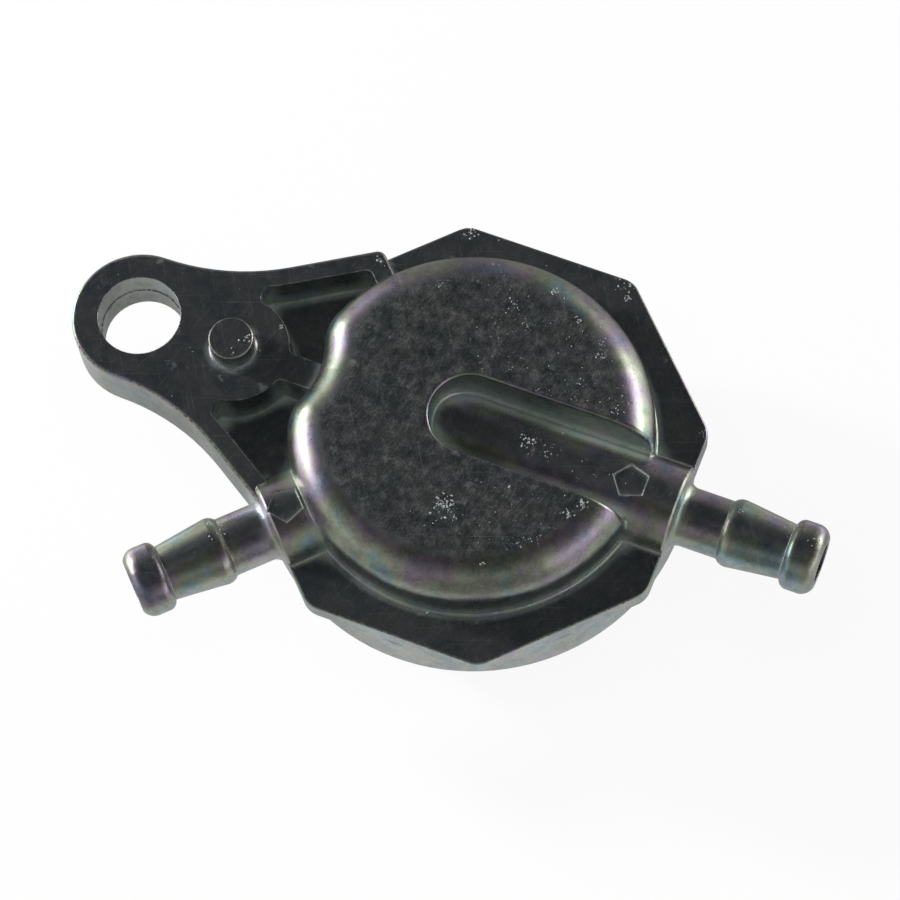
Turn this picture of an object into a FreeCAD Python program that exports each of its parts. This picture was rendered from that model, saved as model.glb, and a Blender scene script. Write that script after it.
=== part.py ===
import FreeCAD, Part
import math
import os

from FreeCAD import Vector

# Automatic fuel tap: a zinc die casting with two hose barbs and a mounting arm, closed from below by a
# screwed cover. A spring holds a rubber seal against the seat in the drum. Engine vacuum under the lower
# diaphragm pulls the seal down and lets fuel flow from the inlet to the outlet.
# Millimetres. The origin is the centre of the cover's flat underside, +Z runs up through the drum,
# +X points along the outlet barb and the arm lies along -X.

# Stack heights, from the underside of the cover up to the top of the drum
cover_height = 4.6
cover_flange_t = 1.8
diaphragm_t = 0.7
spacer_t = 2.0
skirt_h = 6.6
drum_h = 7.1

cover_flange_top = cover_height + cover_flange_t
spacer_z = cover_flange_top + diaphragm_t
joint_z = spacer_z + spacer_t + diaphragm_t
face_z = joint_z + skirt_h
drum_top = face_z + drum_h

# Body: octagonal flange, skirt and drum
drum_r = 17.0
flange_margin = 3.325
octagon_t = 2.1
octagon_corner_r = 2.2
octagon_edge_r = 0.25
skirt_proud = 0.03
stack_inset = 2.325
drum_edge_r = 4.2
drum_corner_extra = 0.2
drum_foot_r = 0.4
scoop_r = 8.6
slot_margin = 0.65
slot_rim_r = 0.35
slot_foot_r = 0.45

# Body: mounting arm with eye, peg and two pockets
eye_reach = 13.175
eye_outer_r = 6.4
eye_r = 3.9
arm_rise = 2.6
arm_t = 5.7
arm_waist_r = 22.0
arm_root_half = 14.24
arm_corner_r = 0.9
arm_edge_r = 0.4
peg_reach = 6.9
peg_r = 2.1
peg_h = 2.45
peg_edge = 0.12
peg_land_r = 5.3
pocket_depth = 4.0
pocket_rim = 1.8
pocket_end_wall = 1.9
pocket_left_gap = 0.4
pocket_corner_r = 1.1
pocket_floor_r = 0.35
spine_half = 1.35

# Body: hose barbs, the same profile on both sides
barb_drop = 0.4
outlet_deg = 0.0
inlet_deg = 225.0
bore_r = 2.0
boss_r = 4.4
boss_proud = 0.08
boss_edge = 0.2
boss_foot_r = 0.4
neck_r = 2.8
neck_l = 4.5
neck_root_r = 1.0
ring_r = 3.25
ring_rise_l = 1.0
taper_l = 5.1
taper_end_r = 2.65
bead_r = 3.35
bead_rise_l = 0.8
bead_l = 1.2
tip_r = 2.5
tip_l = 1.2
barb_bulge = 0.2
mark_r = 1.75
mark_depth = 0.2
mark_sides = 5
outlet_mark_inset = 4.7
inlet_mark_inset = 1.8

# Body: fuel chamber, seat and screw holes
chamber_wall = 1.1
chamber_edge = 1.6
roof_t = 2.4
slot_wall = 1.6
seat_wall = 0.5
seat_lip_h = 0.4
seat_lip_w = 0.7

# Screws and spring washers
screw_inset = 3.2
screw_count = 4
screw_first_deg = 67.5
screw_r = 1.5
screw_length = 12.0
screw_hole_gap = 0.05
screw_pass_gap = 0.2
screw_hole_extra = 1.2
head_r = 2.75
head_h = 2.0
head_edge = 0.45
recess_w = 0.7
recess_l = 3.0
recess_depth = 1.1
washer_r = 2.6
washer_t = 0.6
washer_gap = 0.15
washer_slit = 0.5

# Valve: seal, stem, sleeve, plate, clip, spring and the two diaphragms
seat_gap = 0.05
seal_margin = 1.2
seal_t = 0.85
stem_head_margin = 1.1
stem_head_t = 0.6
stem_r = 1.5
stem_end = 0.5
sleeve_wall = 2.45
fit_gap = 0.05
plate_inset = 3.4
plate_t = 0.7
plate_lip_h = 0.8
clip_w = 1.15
clip_t = 0.7
plate_rim_gap = 0.4
convolution_gap = 0.6
spring_gap = 1.05
wire_r = 0.35
spring_turns = 3.5
wire_sides = 8

# Spacer ring and cover
spacer_lip = 1.2
vent_r = 0.5
vent_deg = 90.0
cover_wall = 1.4
head_gap = 0.85
dome_edge_r = 1.5
nipple_deg = 112.5
nipple_z = 3.4
nipple_r = 1.9
nipple_bead_r = 2.2
nipple_bead_l = 1.3
nipple_reach = 5.8
nipple_bore_r = 0.9
flange_edge = 0.3

X = Vector(1, 0, 0)
Z = Vector(0, 0, 1)
OVER = 1.0

# Sizes and heights that follow from those above
drum_corner_r = drum_edge_r + drum_corner_extra
flat_r = drum_r + flange_margin
octagon_r = flat_r / math.cos(math.radians(22.5))
skirt_r = flat_r + skirt_proud
slot_r = boss_r - slot_margin
stack_r = flat_r - stack_inset
eye_x = -flat_r - eye_reach
peg_x = -drum_r - peg_reach
pocket_left_x = peg_x + pocket_left_gap
boss_end = flat_r + boss_proud
ring_start = boss_end + neck_l
ring_crest = ring_start + ring_rise_l
taper_end = ring_crest + taper_l
bead_start = taper_end + bead_rise_l
bead_end = bead_start + bead_l
barb_tip = bead_end + tip_l
outlet_mark_s = boss_end - outlet_mark_inset
inlet_mark_s = boss_end - inlet_mark_inset
screw_pcd_r = stack_r - screw_inset
chamber_r = screw_pcd_r - screw_r - chamber_wall
dome_r = screw_pcd_r - head_r - head_gap
spacer_bore_r = chamber_r - spacer_lip
convolution_r = spacer_bore_r - convolution_gap
plate_r = convolution_r - plate_inset
centre_zone_r = plate_r + plate_rim_gap
spring_r = plate_r - plate_t - wire_r - spring_gap
seal_r = bore_r + seat_lip_w + seal_margin
stem_head_r = seal_r + stem_head_margin
stem_hole_r = stem_r + fit_gap
sleeve_r = stem_hole_r + sleeve_wall
clip_r = stem_hole_r + clip_w
nipple_tip = stack_r + nipple_reach
barb_z = face_z - barb_drop
arm_top = face_z + arm_rise
arm_base = arm_top - arm_t
rib_z = barb_z - bore_r - seat_wall
seat_z = rib_z - seat_lip_h
seal_top = seat_z - seat_gap
head_top = seal_top - seal_t
fuel_centre_top = head_top - stem_head_t
diaphragm_rise = fuel_centre_top - joint_z
sleeve_top = fuel_centre_top - diaphragm_t
sleeve_base = sleeve_top - spacer_t
plate_top = sleeve_base - diaphragm_t
plate_base = plate_top - plate_t
clip_base = plate_base - clip_t
stem_base = clip_base - stem_end
screw_seat_z = cover_height - washer_t
screw_top = screw_seat_z + screw_length


def cylinder(radius, z0, z1, x=0.0):
    return Part.makeCylinder(radius, z1 - z0, Vector(x, 0, z0), Z)


def rod(radius, x0, x1, z):
    """Cylinder along X at height z, to be turned to the side it leaves on."""
    return Part.makeCylinder(radius, x1 - x0, Vector(x0, 0, z), X)


def prism(wire, z0, z1):
    face = Part.Face(wire)
    face.translate(Vector(0, 0, z0))
    return face.extrude(Vector(0, 0, z1 - z0))


def revolved(points):
    """Solid of revolution about Z of a closed outline given as (r, z) corners."""
    corners = [Vector(r, 0, z) for r, z in points]
    return Part.Face(Part.makePolygon(corners + corners[:1])).revolve(Vector(0, 0, 0), Z, 360)


def turned(shape, degrees):
    copy = shape.copy()
    copy.rotate(Vector(0, 0, 0), Z, degrees)
    return copy


def on_pitch_circle(make):
    """One copy of a screw-side shape at each screw position."""
    step = 360.0 / screw_count
    return [turned(make(), screw_first_deg + step * i) for i in range(screw_count)]


def edges_where(shape, test):
    return [e for e in shape.Edges if test(e)]


def is_vertical(edge):
    a = edge.Vertexes[0].Point
    b = edge.Vertexes[-1].Point
    return abs(a.x - b.x) < 1e-4 and abs(a.y - b.y) < 1e-4 and abs(a.z - b.z) > 0.1


def at_height(edge, z):
    return all(abs(edge.valueAt(t).z - z) < 1e-4 for t in (edge.FirstParameter, edge.LastParameter))


# Octagonal flange: its flats face along X and Y, so that each barb leaves square to a flat
def octagon_plate():
    corners = []
    for i in range(9):
        a = math.radians(22.5 + 45.0 * i)
        corners.append(Vector(octagon_r * math.cos(a), octagon_r * math.sin(a), 0))
    plate = prism(Part.makePolygon(corners), face_z - octagon_t, face_z)
    plate = plate.makeFillet(octagon_corner_r, edges_where(plate, is_vertical))
    return plate.makeFillet(octagon_edge_r, edges_where(plate, lambda e: at_height(e, face_z)))


# Drum plan: a disc with a scoop round the peg, so that a nut or a hose clip clears it
def drum_prism(z0, z1):
    drum = cylinder(drum_r, z0, z1).cut(cylinder(scoop_r, z0 - OVER, z1 + OVER, peg_x))
    corners = edges_where(drum, lambda e: is_vertical(e) and e.CenterOfMass.x < -drum_r / 2)
    return drum.makeFillet(drum_corner_r, corners)


def drum_solid():
    drum = drum_prism(joint_z, drum_top)
    drum = drum.makeFillet(drum_edge_r, edges_where(drum, lambda e: at_height(e, drum_top)))
    slot = slot_tool()
    drum = drum.cut(slot)
    rim = edges_where(drum, on_slot_rim)
    return drum.makeFillet(slot_rim_r, rim)


# Slot: ends round on the drum's axis. The top of the outlet's boss fills it up to its floor later.
def slot_tool():
    end = cylinder(slot_r, face_z, drum_top + OVER)
    run = Part.makeBox(drum_r + OVER, 2 * slot_r, drum_h + OVER, Vector(0, -slot_r, face_z))
    return end.fuse(run).removeSplitter()


def on_slot_rim(edge):
    middle = edge.valueAt((edge.FirstParameter + edge.LastParameter) / 2)
    on_side = middle.x > 0 and abs(abs(middle.y) - slot_r) < 1e-3
    on_end = middle.x <= 0 and abs(math.hypot(middle.x, middle.y) - slot_r) < 1e-3
    if is_vertical(edge) or not (on_side or on_end):
        return False
    start = edge.valueAt(edge.FirstParameter)
    stop = edge.valueAt(edge.LastParameter)
    above_floor = barb_z + boss_r + slot_rim_r / 2
    return max(start.z, stop.z, middle.z) > above_floor


# Where the arm's straight flare meets the octagon's sloping flat
def arm_corner():
    return Vector(arm_root_half - flat_r * math.sqrt(2), arm_root_half, 0)


# Angle of the straight flare, which leaves the waist's arc without a kink and ends at the corner
def arm_flare():
    to_corner = arm_corner() - Vector(eye_x, eye_outer_r + arm_waist_r, 0)
    return math.atan2(to_corner.y, to_corner.x) + math.asin(arm_waist_r / to_corner.Length)


# Arm outline: a round eye, two concave waists and two straight flares that end on the octagon's flats.
# inset moves the outline inwards, for the pockets.
def arm_outline(inset):
    flare = arm_flare()
    eye_edge = eye_outer_r - inset
    waist = arm_waist_r + inset
    waist_y = eye_outer_r + arm_waist_r
    middle = flare / 2
    flare_start = Vector(eye_x + waist * math.sin(flare), waist_y - waist * math.cos(flare), 0)
    waist_mid = Vector(eye_x + waist * math.sin(middle), waist_y - waist * math.cos(middle), 0)
    slope = math.tan(flare)
    radial = arm_corner()
    corner_x = (flare_start.y - flare_start.x * slope) / (radial.y / radial.x - slope)
    corner = Vector(corner_x, corner_x * radial.y / radial.x, 0)

    def mirror(p):
        return Vector(p.x, -p.y, 0)

    eye_top = Vector(eye_x, eye_edge, 0)
    eye_left = Vector(eye_x - eye_edge, 0, 0)
    centre = Vector(0, 0, 0)
    edges = [
        Part.LineSegment(centre, corner).toShape(),
        Part.LineSegment(corner, flare_start).toShape(),
        Part.Arc(flare_start, waist_mid, eye_top).toShape(),
        Part.Arc(eye_top, eye_left, mirror(eye_top)).toShape(),
        Part.Arc(mirror(eye_top), mirror(waist_mid), mirror(flare_start)).toShape(),
        Part.LineSegment(mirror(flare_start), mirror(corner)).toShape(),
        Part.LineSegment(mirror(corner), centre).toShape(),
    ]
    return Part.Wire(edges)


def on_arm_corner(edge):
    p = edge.CenterOfMass
    return abs(p.x - arm_corner().x) < 1e-3 and abs(abs(p.y) - arm_corner().y) < 1e-3


def arm_solid():
    arm = prism(arm_outline(0.0), arm_base, arm_top)
    arm = arm.makeFillet(arm_corner_r, edges_where(arm, lambda e: is_vertical(e) and on_arm_corner(e)))
    outline = edges_where(arm, lambda e: at_height(e, arm_top) and e.CenterOfMass.x < arm_corner().x)
    return arm.makeFillet(arm_edge_r, outline)


# Pockets: what is left of the arm's web inside its rim, beside the spine, the peg's land and the drum
def pockets():
    low = arm_top - pocket_depth
    high = arm_top + OVER
    reach = 3 * octagon_r
    depth = high - low + 2 * OVER
    web = prism(arm_outline(pocket_rim), low, high)
    side = Part.makeBox(reach, 2 * reach, depth, Vector(pocket_left_x - reach, -reach, low - OVER))
    spine = Part.makeBox(reach, 2 * spine_half, depth, Vector(-reach, -spine_half, low - OVER))
    land = cylinder(peg_land_r, low - OVER, high + OVER, peg_x)
    web = web.cut(side).cut(spine).cut(land).cut(drum_prism(low - OVER, high + OVER))
    corner = arm_corner()
    radial = math.degrees(math.atan2(corner.y, corner.x))
    end_wall = Part.makeBox(reach, reach, depth, Vector(0, pocket_end_wall - reach, low - OVER))
    web = web.cut(turned(end_wall, radial))
    end_wall.translate(Vector(0, reach - 2 * pocket_end_wall, 0))
    web = web.cut(turned(end_wall, -radial))
    web = web.cut(turned(rod(boss_r, 0, boss_end, barb_z), inlet_deg))

    def off_the_drum(edge):
        p = edge.CenterOfMass
        from_drum = math.hypot(p.x, p.y) - drum_r
        from_scoop = math.hypot(p.x - peg_x, p.y) - scoop_r
        return is_vertical(edge) and min(abs(from_drum), abs(from_scoop)) > pocket_corner_r / 2
    shortest_wall = min(e.Length for e in web.Edges if at_height(e, low))
    corner_r = min(pocket_corner_r, shortest_wall / 2)
    web = web.makeFillet(corner_r, edges_where(web, off_the_drum))
    return web.makeFillet(min(pocket_floor_r, corner_r / 2), edges_where(web, lambda e: at_height(e, low)))


def peg():
    post = cylinder(peg_r, arm_base + OVER, arm_top + peg_h, peg_x)
    top = edges_where(post, lambda e: at_height(e, arm_top + peg_h))
    return post.makeChamfer(peg_edge, top)


def on_slot_foot(edge):
    """The wall of the slot meets the top of the outlet's boss along this edge."""
    for share in (0.1, 0.5, 0.9):
        p = edge.valueAt(edge.FirstParameter * (1 - share) + edge.LastParameter * share)
        from_wall = abs(p.y) - slot_r if p.x > 0 else math.hypot(p.x, p.y) - slot_r
        from_boss = math.hypot(p.y, p.z - barb_z) - boss_r
        if abs(from_wall) > 1e-3 or abs(from_boss) > 1e-3 or p.z < barb_z:
            return False
    return True


# Drum with the outlet's boss as the floor of its slot, and a cove along the foot of the slot's walls
def drum_and_outlet():
    drum = drum_solid().fuse(barb(outlet_deg, -slot_r - slot_wall))
    return drum.makeFillet(slot_foot_r, edges_where(drum, on_slot_foot))


# Hose barb with its boss, turned about its own axis. s runs outwards from the drum's axis, and the boss
# begins at inner_s inside the drum.
def barb(degrees, inner_s):
    def point(s, r):
        return Vector(s, 0, barb_z + r)

    def bulge(s0, r0, s1, r1):
        """Arc between two profile points that swells away from the axis."""
        rise = abs(r1 - r0)
        return Part.Arc(point(s0, r0), point((s0 + s1) / 2, max(r0, r1) - barb_bulge * rise), point(s1, r1))

    root_s = boss_end + neck_root_r * (1 - math.sqrt(0.5))
    root_r = neck_r + neck_root_r * (1 - math.sqrt(0.5))
    root_end = boss_end + neck_root_r
    edges = [
        Part.LineSegment(point(inner_s, 0), point(inner_s, boss_r)),
        Part.LineSegment(point(inner_s, boss_r), point(boss_end - boss_edge, boss_r)),
        Part.LineSegment(point(boss_end - boss_edge, boss_r), point(boss_end, boss_r - boss_edge)),
        Part.LineSegment(point(boss_end, boss_r - boss_edge), point(boss_end, neck_r + neck_root_r)),
        Part.Arc(point(boss_end, neck_r + neck_root_r), point(root_s, root_r), point(root_end, neck_r)),
        Part.LineSegment(point(root_end, neck_r), point(ring_start, neck_r)),
        bulge(ring_start, neck_r, ring_crest, ring_r),
        Part.LineSegment(point(ring_crest, ring_r), point(taper_end, taper_end_r)),
        bulge(taper_end, taper_end_r, bead_start, bead_r),
        Part.LineSegment(point(bead_start, bead_r), point(bead_end, bead_r)),
        bulge(bead_end, bead_r, barb_tip, tip_r),
        Part.LineSegment(point(barb_tip, tip_r), point(barb_tip, 0)),
        Part.LineSegment(point(barb_tip, 0), point(inner_s, 0)),
    ]
    outline = Part.Wire([e.toShape() for e in edges])
    return turned(Part.Face(outline).revolve(point(0, 0), X, 360), degrees)


# Cove between a boss and the flange, on the boss's left (side 1) or right (side -1) looking outwards
def boss_foot(degrees, side):
    top = face_z + boss_foot_r
    wall_low = math.sqrt(boss_r ** 2 - barb_drop ** 2)
    wall_top = math.sqrt(boss_r ** 2 - (barb_drop + boss_foot_r) ** 2)
    bend = boss_foot_r * (1 - math.sqrt(0.5))
    start = drum_r - OVER

    def point(y, z):
        return Vector(start, side * y, z)

    inner = boss_r / 2
    toe = point(wall_low + boss_foot_r, face_z)
    middle = point(wall_low + bend, face_z + bend)
    edges = [
        Part.LineSegment(point(inner, face_z - OVER), point(toe.y * side, face_z - OVER)),
        Part.LineSegment(point(toe.y * side, face_z - OVER), toe),
        Part.Arc(toe, middle, point(wall_top, top)),
        Part.LineSegment(point(wall_top, top), point(inner, top)),
        Part.LineSegment(point(inner, top), point(inner, face_z - OVER)),
    ]
    strip = Part.Face(Part.Wire([e.toShape() for e in edges])).extrude(Vector(flat_r - start, 0, 0))
    return turned(strip, degrees)


# Five-sided cast mark on top of each boss
def boss_mark(degrees, along, point_deg):
    corners = []
    for i in range(mark_sides + 1):
        a = math.radians(point_deg + 360.0 / mark_sides * i)
        corners.append(Vector(along + mark_r * math.cos(a), mark_r * math.sin(a), 0))
    top = barb_z + boss_r
    cutter = prism(Part.makePolygon(corners), barb_z, top + OVER)
    core = rod(boss_r - mark_depth, 0, 2 * boss_end, barb_z)
    return turned(cutter.cut(core), degrees)


# Foot of the drum: a small cove where it meets the flange
def drum_foot():
    outer = drum_r + drum_foot_r
    inner = drum_r - OVER
    low = face_z - OVER
    corner = Vector(drum_r, 0, face_z + drum_foot_r)
    toe = Vector(outer, 0, face_z)
    bend = math.sqrt(0.5)
    middle = Vector(outer - drum_foot_r * bend, 0, face_z + drum_foot_r * (1 - bend))
    edges = [
        Part.LineSegment(Vector(inner, 0, low), Vector(outer, 0, low)),
        Part.LineSegment(Vector(outer, 0, low), toe),
        Part.Arc(toe, middle, corner),
        Part.LineSegment(corner, Vector(inner, 0, corner.z)),
        Part.LineSegment(Vector(inner, 0, corner.z), Vector(inner, 0, low)),
    ]
    wire = Part.Wire([e.toShape() for e in edges])
    return Part.Face(wire).revolve(Vector(0, 0, 0), Z, 360)


# Fuel chamber: round, open at the joint face, with the slot's walls and the outlet passage left standing
def chamber_tool():
    roof = drum_top - roof_t
    room = cylinder(chamber_r, joint_z - OVER, roof)
    room = room.makeChamfer(chamber_edge, edges_where(room, lambda e: at_height(e, roof)))
    half = slot_r + slot_wall
    rib = cylinder(half, rib_z, roof + OVER)
    rib = rib.fuse(Part.makeBox(2 * chamber_r, 2 * half, roof + OVER - rib_z, Vector(0, -half, rib_z)))
    lip = cylinder(bore_r + seat_lip_w, seat_z, rib_z + OVER)
    return room.cut(rib).cut(lip)


# Passages: the outlet runs from the seat to its barb, the inlet ends in the chamber
def passages():
    outlet = rod(bore_r, 0, barb_tip + OVER, barb_z)
    drop = cylinder(bore_r, joint_z, barb_z)
    inlet = rod(bore_r, chamber_r - OVER, barb_tip + OVER, barb_z)
    return turned(outlet, outlet_deg).fuse(drop).fuse(turned(inlet, inlet_deg))


def screw_hole():
    top = screw_top + screw_hole_extra
    return cylinder(screw_r + screw_hole_gap, joint_z - OVER, top, screw_pcd_r)


def clearance_holes(z0, z1):
    """Cutters for the screws to pass through the clamped parts."""
    return on_pitch_circle(lambda: cylinder(screw_r + screw_pass_gap, z0 - OVER, z1 + OVER, screw_pcd_r))


def body():
    base = octagon_plate().fuse(cylinder(skirt_r, joint_z, face_z - octagon_t))
    base = base.fuse(arm_solid()).fuse(drum_foot()).cut(pockets())
    base = base.fuse(drum_and_outlet()).fuse(barb(inlet_deg, slot_r + slot_wall)).fuse(peg())
    base = base.fuse(boss_foot(outlet_deg, 1)).fuse(boss_foot(outlet_deg, -1)).fuse(boss_foot(inlet_deg, 1))
    base = base.cut(boss_mark(outlet_deg, outlet_mark_s, 180.0)).cut(boss_mark(inlet_deg, inlet_mark_s, 0.0))
    base = base.cut(cylinder(eye_r, arm_base - OVER, arm_top + OVER, eye_x))
    base = base.cut(chamber_tool()).cut(passages())
    for hole in on_pitch_circle(screw_hole):
        base = base.cut(hole)
    return base


# Diaphragm: flat clamped rim, a raised centre and a sloping convolution between them
def diaphragm(rim_z):
    top = rim_z + diaphragm_t
    high = rim_z + diaphragm_rise
    sheet = revolved([
        (stem_hole_r, high), (centre_zone_r, high), (convolution_r, rim_z), (stack_r, rim_z), (stack_r, top),
        (convolution_r, top), (centre_zone_r, high + diaphragm_t), (stem_hole_r, high + diaphragm_t)])
    for hole in clearance_holes(rim_z, top):
        sheet = sheet.cut(hole)
    return sheet


# Spacer ring: keeps the two diaphragms apart, its vent shows a leaking diaphragm
def spacer_ring():
    top = spacer_z + spacer_t
    ring = cylinder(stack_r, spacer_z, top).cut(cylinder(spacer_bore_r, spacer_z - OVER, top + OVER))
    for hole in clearance_holes(spacer_z, top):
        ring = ring.cut(hole)
    vent = rod(vent_r, spacer_bore_r - OVER, stack_r + OVER, spacer_z + spacer_t / 2)
    return ring.cut(turned(vent, vent_deg))


def valve_seal():
    return cylinder(seal_r, head_top, seal_top)


def valve_stem():
    head = cylinder(stem_head_r, fuel_centre_top, head_top)
    return head.fuse(cylinder(stem_r, stem_base, fuel_centre_top))


def distance_sleeve():
    bore = cylinder(stem_hole_r, sleeve_base - OVER, sleeve_top + OVER)
    return cylinder(sleeve_r, sleeve_base, sleeve_top).cut(bore)


# Pressure plate: a pressed dish, its turned-down edge keeps the spring in the middle
def pressure_plate():
    inner = plate_r - plate_t
    low = plate_base - plate_lip_h
    return revolved([(stem_hole_r, plate_base), (inner, plate_base), (inner, low), (plate_r, low),
                     (plate_r, plate_top), (stem_hole_r, plate_top)])


def stem_clip():
    bore = cylinder(stem_hole_r, clip_base - OVER, plate_base + OVER)
    return cylinder(clip_r, clip_base, plate_base).cut(bore)


# Return spring: wire in half turns, each a half ring that climbs to the other side and runs on smoothly.
# The round wire has eight flats here.
def return_spring():
    low = cover_wall + wire_r
    halves = round(2 * spring_turns)
    rise = (plate_base - cover_wall - 2 * wire_r) / halves
    wire = None
    for i in range(halves):
        side = 1 if i % 2 == 0 else -1
        start = Vector(side * spring_r, 0, low + rise * i)
        chord = Vector(-2 * side * spring_r, 0, rise)
        corners = []
        for k in range(wire_sides + 1):
            a = 2 * math.pi * (k + 0.5) / wire_sides
            corners.append(start + Vector(wire_r * math.cos(a), 0, wire_r * math.sin(a)))
        section = Part.Face(Part.makePolygon(corners))
        half = section.revolve(start + chord * 0.5, Vector(0, side, 0).cross(chord), 180)
        wire = half if wire is None else wire.fuse(half)
    return wire


# Cover: flanged dome with a flat underside, cast with its vacuum nipple
def cover():
    outer = cylinder(dome_r, 0, cover_flange_top - flange_edge)
    outer = outer.makeFillet(dome_edge_r, edges_where(outer, lambda e: at_height(e, 0)))
    flange = cylinder(stack_r, cover_height, cover_flange_top)
    flange = flange.makeChamfer(flange_edge, edges_where(flange, lambda e: at_height(e, cover_height)))
    shell = outer.fuse(flange)
    nipple = rod(nipple_r, 0, nipple_tip, nipple_z)
    bead = rod(nipple_bead_r, nipple_tip - nipple_bead_l, nipple_tip, nipple_z)
    shell = shell.fuse(turned(nipple.fuse(bead), nipple_deg))
    room = cylinder(dome_r - cover_wall, cover_wall, cover_flange_top + OVER)
    bore = rod(nipple_bore_r, 0, nipple_tip + OVER, nipple_z)
    shell = shell.cut(room).cut(turned(bore, nipple_deg))
    for hole in clearance_holes(cover_height, cover_flange_top):
        shell = shell.cut(hole)
    return shell


def cover_screw():
    head = cylinder(head_r, screw_seat_z - head_h, screw_seat_z, screw_pcd_r)
    head = head.makeChamfer(head_edge, edges_where(head, lambda e: at_height(e, screw_seat_z - head_h)))
    shank = cylinder(screw_r, screw_seat_z, screw_top, screw_pcd_r)
    low = screw_seat_z - head_h - OVER
    half_w = recess_w / 2
    half_l = recess_l / 2
    arm_a = Part.makeBox(recess_l, recess_w, recess_depth + OVER, Vector(screw_pcd_r - half_l, -half_w, low))
    arm_b = Part.makeBox(recess_w, recess_l, recess_depth + OVER, Vector(screw_pcd_r - half_w, -half_l, low))
    return head.fuse(shank).cut(arm_a.fuse(arm_b))


def spring_washer():
    ring = cylinder(washer_r, screw_seat_z, cover_height, screw_pcd_r)
    bore = cylinder(screw_r + washer_gap, screw_seat_z - OVER, cover_height + OVER, screw_pcd_r)
    slit = Part.makeBox(washer_r + OVER, washer_slit, washer_t + 2 * OVER,
                        Vector(screw_pcd_r, -washer_slit / 2, screw_seat_z - OVER))
    return ring.cut(bore).cut(slit)


nodes = {
    "tap_body": body(),
    "valve_seal": valve_seal(),
    "valve_stem": valve_stem(),
    "fuel_diaphragm": diaphragm(joint_z - diaphragm_t),
    "distance_sleeve": distance_sleeve(),
    "spacer_ring": spacer_ring(),
    "vacuum_diaphragm": diaphragm(cover_flange_top),
    "pressure_plate": pressure_plate(),
    "stem_clip": stem_clip(),
    "return_spring": return_spring(),
    "cover": cover(),
    "cover_screws": Part.makeCompound(on_pitch_circle(cover_screw)),
    "spring_washers": Part.makeCompound(on_pitch_circle(spring_washer)),
}

os.makedirs("parts", exist_ok=True)
for name, shape in nodes.items():
    shape.exportStep("parts/" + name + ".step")
    print(name, "solids", len(shape.Solids), "valid", shape.isValid(), "volume", round(shape.Volume, 2))
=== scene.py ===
import math
import random

import bmesh
import bpy
from mathutils import Matrix, Vector, noise
from mathutils.bvhtree import BVHTree


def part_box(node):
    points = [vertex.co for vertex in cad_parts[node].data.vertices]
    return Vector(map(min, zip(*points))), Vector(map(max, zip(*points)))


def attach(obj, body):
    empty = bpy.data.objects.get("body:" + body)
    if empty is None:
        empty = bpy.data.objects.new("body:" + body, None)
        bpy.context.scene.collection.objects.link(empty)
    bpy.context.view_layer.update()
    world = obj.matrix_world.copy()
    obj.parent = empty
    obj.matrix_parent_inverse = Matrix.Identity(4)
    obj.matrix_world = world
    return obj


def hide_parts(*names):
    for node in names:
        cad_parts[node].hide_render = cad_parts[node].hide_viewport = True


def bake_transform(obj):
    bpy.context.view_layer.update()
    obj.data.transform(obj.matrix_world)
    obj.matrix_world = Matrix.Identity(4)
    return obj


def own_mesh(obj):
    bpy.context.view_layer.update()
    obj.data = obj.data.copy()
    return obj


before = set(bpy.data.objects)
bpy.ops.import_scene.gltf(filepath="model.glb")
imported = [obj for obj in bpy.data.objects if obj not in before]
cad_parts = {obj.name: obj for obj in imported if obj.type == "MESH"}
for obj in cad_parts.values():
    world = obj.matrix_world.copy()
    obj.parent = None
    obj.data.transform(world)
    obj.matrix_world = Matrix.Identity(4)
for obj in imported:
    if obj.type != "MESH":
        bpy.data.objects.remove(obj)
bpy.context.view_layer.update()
scene = bpy.context.scene
scene.view_settings.view_transform = "Standard"
MM = 0.001

# Camera: looks steeply down on the tap from the front right, rolled a little. The lens is long, so the far
# side of the tap is hardly smaller than the near side.
camera_place = Vector((60.18, -115.32, 345.15)) * MM
camera_right = Vector((0.9300, 0.3644, -0.0488))
camera_back = Vector((0.1750, -0.3219, 0.9305))
camera_lens = 152.19
camera_data = bpy.data.cameras.new("camera")
camera_data.lens = camera_lens
camera_data.sensor_width = 36.0
camera_data.clip_start = 10 * MM
camera_data.clip_end = 20.0
camera = bpy.data.objects.new("camera", camera_data)
camera_up = camera_back.cross(camera_right).normalized()
camera_right = camera_up.cross(camera_back).normalized()
turn = Matrix((camera_right, camera_up, camera_back.normalized())).transposed()
camera.matrix_world = Matrix.Translation(camera_place) @ turn.to_4x4()
scene.collection.objects.link(camera)
scene.camera = camera


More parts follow.
